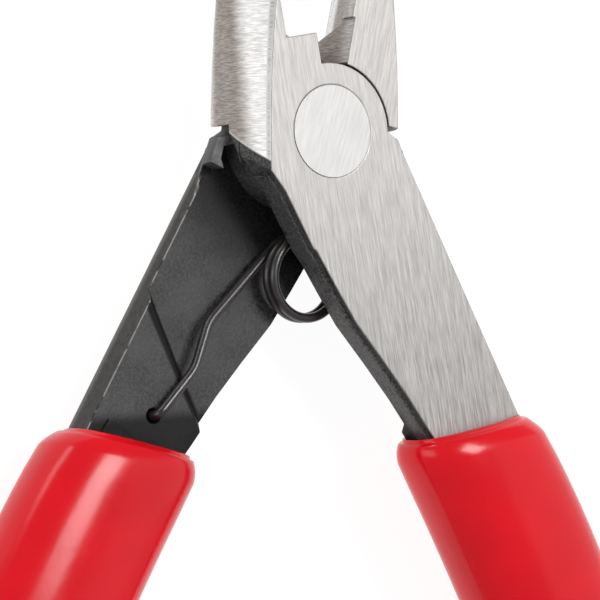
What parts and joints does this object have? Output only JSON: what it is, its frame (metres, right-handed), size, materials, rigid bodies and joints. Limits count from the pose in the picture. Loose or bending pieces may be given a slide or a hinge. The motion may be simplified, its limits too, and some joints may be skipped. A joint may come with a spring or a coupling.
{
  "type": "flush cutter",
  "caption": "Small hand cutter: two lap-jointed steel halves on a flush rivet, sprung open by a wire coil, with dipped vinyl grips.",
  "frame": {"origin": "on the pivot axis, at the flat back face of the head", "axes": "+Z along the pivot axis from the back face to the front face, +Y along the tool's long axis towards the jaw tips"},
  "size_m": [0.0882, 0.1202, 0.0132],
  "materials": {
    "front_steel": "ground and brushed faces, black oxide handle sides",
    "rear_steel": "black oxide handle, ground head",
    "rivet_steel": "ground flush",
    "spring_wire": "glossy black",
    "grip_vinyl": "glossy dipped vinyl"
  },
  "bodies": {
    "rear_side": {"rear_half": "rear_steel", "pivot_rivet": "rivet_steel", "torsion_spring": "spring_wire", "rear_grip": "grip_vinyl"},
    "front_side": {"front_half": "front_steel", "front_grip": "grip_vinyl"}
  },
  "joints": [
    {"name": "pivot", "type": "hinge", "parent": "rear_side", "child": "front_side", "pos_m": [0, 0, 0.004], "axis": [0, 0, -1], "range_deg": [0, 23], "stiffness_Nm_per_rad": 0.5, "springref_deg": -11.46, "deforming": ["torsion_spring"]}
  ]
}
